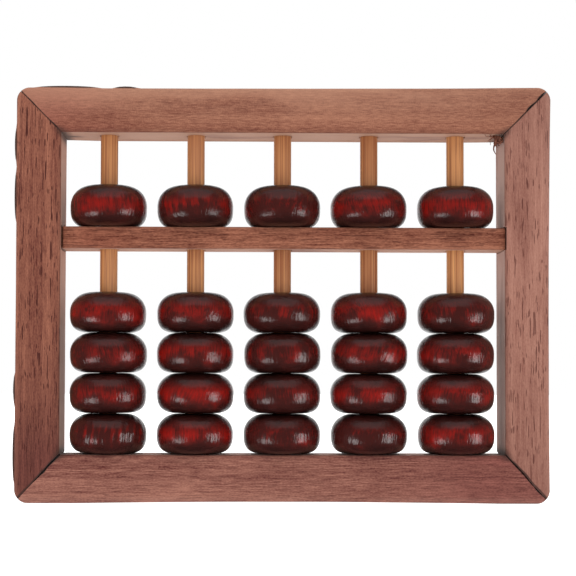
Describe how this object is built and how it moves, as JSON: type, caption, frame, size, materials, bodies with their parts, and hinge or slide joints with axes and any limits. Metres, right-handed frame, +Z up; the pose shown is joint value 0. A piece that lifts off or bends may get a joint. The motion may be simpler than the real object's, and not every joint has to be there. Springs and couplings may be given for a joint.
{
  "type": "abacus",
  "caption": "Small desktop abacus: a mitred wood frame with a cross beam, bamboo rods, and round lacquered beads that slide above and below the beam.",
  "frame": {"origin": "centre of the bounding box's underside: on the surface that the frame stands on, under the middle of the bottom rail", "axes": "+Z up along the rods, +X to the right along the beam, front faces -Y"},
  "size_m": [0.1236, 0.0178, 0.0959],
  "materials": {
    "top_rail_wood": "reddish-brown stained beech, satin, with short dark flecks along the grain",
    "bottom_rail_wood": "reddish-brown stained beech, satin, with short dark flecks along the grain",
    "left_rail_wood": "reddish-brown stained beech, satin, with short dark flecks along the grain",
    "right_rail_wood": "reddish-brown stained beech, satin, with short dark flecks along the grain",
    "beam_wood": "reddish-brown stained beech, satin, with short dark flecks along the grain",
    "bamboo": "plain split bamboo, dull, with fine lengthwise fibres",
    "lacquered_wood": "dark maroon glossy lacquer, almost black at the flats, redder round the middle"
  },
  "bodies": {
    "frame": {"bottom_rail": "bottom_rail_wood", "top_rail": "top_rail_wood", "left_rail": "left_rail_wood", "right_rail": "right_rail_wood", "beam": "beam_wood", "rod_1": "bamboo", "rod_2": "bamboo", "rod_3": "bamboo", "rod_4": "bamboo", "rod_5": "bamboo"},
    "upper_bead_1": {"upper_bead_1": "lacquered_wood"},
    "upper_bead_2": {"upper_bead_2": "lacquered_wood"},
    "upper_bead_3": {"upper_bead_3": "lacquered_wood"},
    "upper_bead_4": {"upper_bead_4": "lacquered_wood"},
    "upper_bead_5": {"upper_bead_5": "lacquered_wood"},
    "lower_bead_1_1": {"lower_bead_1_1": "lacquered_wood"},
    "lower_bead_1_2": {"lower_bead_1_2": "lacquered_wood"},
    "lower_bead_1_3": {"lower_bead_1_3": "lacquered_wood"},
    "lower_bead_1_4": {"lower_bead_1_4": "lacquered_wood"},
    "lower_bead_2_1": {"lower_bead_2_1": "lacquered_wood"},
    "lower_bead_2_2": {"lower_bead_2_2": "lacquered_wood"},
    "lower_bead_2_3": {"lower_bead_2_3": "lacquered_wood"},
    "lower_bead_2_4": {"lower_bead_2_4": "lacquered_wood"},
    "lower_bead_3_1": {"lower_bead_3_1": "lacquered_wood"},
    "lower_bead_3_2": {"lower_bead_3_2": "lacquered_wood"},
    "lower_bead_3_3": {"lower_bead_3_3": "lacquered_wood"},
    "lower_bead_3_4": {"lower_bead_3_4": "lacquered_wood"},
    "lower_bead_4_1": {"lower_bead_4_1": "lacquered_wood"},
    "lower_bead_4_2": {"lower_bead_4_2": "lacquered_wood"},
    "lower_bead_4_3": {"lower_bead_4_3": "lacquered_wood"},
    "lower_bead_4_4": {"lower_bead_4_4": "lacquered_wood"},
    "lower_bead_5_1": {"lower_bead_5_1": "lacquered_wood"},
    "lower_bead_5_2": {"lower_bead_5_2": "lacquered_wood"},
    "lower_bead_5_3": {"lower_bead_5_3": "lacquered_wood"},
    "lower_bead_5_4": {"lower_bead_5_4": "lacquered_wood"}
  },
  "joints": [
    {"name": "upper_bead_1_slide", "type": "slide", "parent": "frame", "child": "upper_bead_1", "axis": [0, 0, 1], "range_m": [0, 0.0117]},
    {"name": "upper_bead_2_slide", "type": "slide", "parent": "frame", "child": "upper_bead_2", "axis": [0, 0, 1], "range_m": [0, 0.0117]},
    {"name": "upper_bead_3_slide", "type": "slide", "parent": "frame", "child": "upper_bead_3", "axis": [0, 0, 1], "range_m": [0, 0.0117]},
    {"name": "upper_bead_4_slide", "type": "slide", "parent": "frame", "child": "upper_bead_4", "axis": [0, 0, 1], "range_m": [0, 0.0117]},
    {"name": "upper_bead_5_slide", "type": "slide", "parent": "frame", "child": "upper_bead_5", "axis": [0, 0, 1], "range_m": [0, 0.0117]},
    {"name": "lower_bead_1_3_slide", "type": "slide", "parent": "frame", "child": "lower_bead_1_3", "axis": [0, 0, 1], "range_m": [0, 0.0099]},
    {"name": "lower_bead_1_2_slide", "type": "slide", "parent": "frame", "child": "lower_bead_1_2", "axis": [0, 0, 1], "range_m": [0, 0.0099]},
    {"name": "lower_bead_1_1_slide", "type": "slide", "parent": "frame", "child": "lower_bead_1_1", "axis": [0, 0, 1], "range_m": [0, 0.0099]},
    {"name": "lower_bead_1_4_slide", "type": "slide", "parent": "lower_bead_1_3", "child": "lower_bead_1_4", "axis": [0, 0, -1], "range_m": [-0.0099, 0]},
    {"name": "lower_bead_2_2_slide", "type": "slide", "parent": "frame", "child": "lower_bead_2_2", "axis": [0, 0, 1], "range_m": [0, 0.0099]},
    {"name": "lower_bead_2_1_slide", "type": "slide", "parent": "frame", "child": "lower_bead_2_1", "axis": [0, 0, 1], "range_m": [0, 0.0099]},
    {"name": "lower_bead_2_3_slide", "type": "slide", "parent": "lower_bead_2_2", "child": "lower_bead_2_3", "axis": [0, 0, -1], "range_m": [-0.0099, 0]},
    {"name": "lower_bead_2_4_slide", "type": "slide", "parent": "lower_bead_2_2", "child": "lower_bead_2_4", "axis": [0, 0, -1], "range_m": [-0.0099, 0]},
    {"name": "lower_bead_3_1_slide", "type": "slide", "parent": "frame", "child": "lower_bead_3_1", "axis": [0, 0, 1], "range_m": [0, 0.0099]},
    {"name": "lower_bead_3_2_slide", "type": "slide", "parent": "lower_bead_3_1", "child": "lower_bead_3_2", "axis": [0, 0, -1], "range_m": [-0.0099, 0]},
    {"name": "lower_bead_3_3_slide", "type": "slide", "parent": "lower_bead_3_1", "child": "lower_bead_3_3", "axis": [0, 0, -1], "range_m": [-0.0099, 0]},
    {"name": "lower_bead_3_4_slide", "type": "slide", "parent": "lower_bead_3_1", "child": "lower_bead_3_4", "axis": [0, 0, -1], "range_m": [-0.0099, 0]},
    {"name": "lower_bead_4_2_slide", "type": "slide", "parent": "frame", "child": "lower_bead_4_2", "axis": [0, 0, 1], "range_m": [0, 0.0099]},
    {"name": "lower_bead_4_1_slide", "type": "slide", "parent": "frame", "child": "lower_bead_4_1", "axis": [0, 0, 1], "range_m": [0, 0.0099]},
    {"name": "lower_bead_4_3_slide", "type": "slide", "parent": "lower_bead_4_2", "child": "lower_bead_4_3", "axis": [0, 0, -1], "range_m": [-0.0099, 0]},
    {"name": "lower_bead_4_4_slide", "type": "slide", "parent": "lower_bead_4_2", "child": "lower_bead_4_4", "axis": [0, 0, -1], "range_m": [-0.0099, 0]},
    {"name": "lower_bead_5_3_slide", "type": "slide", "parent": "frame", "child": "lower_bead_5_3", "axis": [0, 0, 1], "range_m": [0, 0.0099]},
    {"name": "lower_bead_5_2_slide", "type": "slide", "parent": "frame", "child": "lower_bead_5_2", "axis": [0, 0, 1], "range_m": [0, 0.0099]},
    {"name": "lower_bead_5_1_slide", "type": "slide", "parent": "frame", "child": "lower_bead_5_1", "axis": [0, 0, 1], "range_m": [0, 0.0099]},
    {"name": "lower_bead_5_4_slide", "type": "slide", "parent": "lower_bead_5_3", "child": "lower_bead_5_4", "axis": [0, 0, -1], "range_m": [-0.0099, 0]}
  ],
  "couplings": [
    {"joint": "lower_bead_1_2_slide", "follows": "lower_bead_1_3_slide", "ratio": 1},
    {"joint": "lower_bead_1_1_slide", "follows": "lower_bead_1_3_slide", "ratio": 1},
    {"joint": "lower_bead_2_1_slide", "follows": "lower_bead_2_2_slide", "ratio": 1},
    {"joint": "lower_bead_2_4_slide", "follows": "lower_bead_2_3_slide", "ratio": 1},
    {"joint": "lower_bead_3_3_slide", "follows": "lower_bead_3_2_slide", "ratio": 1},
    {"joint": "lower_bead_3_4_slide", "follows": "lower_bead_3_2_slide", "ratio": 1},
    {"joint": "lower_bead_4_1_slide", "follows": "lower_bead_4_2_slide", "ratio": 1},
    {"joint": "lower_bead_4_4_slide", "follows": "lower_bead_4_3_slide", "ratio": 1},
    {"joint": "lower_bead_5_2_slide", "follows": "lower_bead_5_3_slide", "ratio": 1},
    {"joint": "lower_bead_5_1_slide", "follows": "lower_bead_5_3_slide", "ratio": 1}
  ]
}
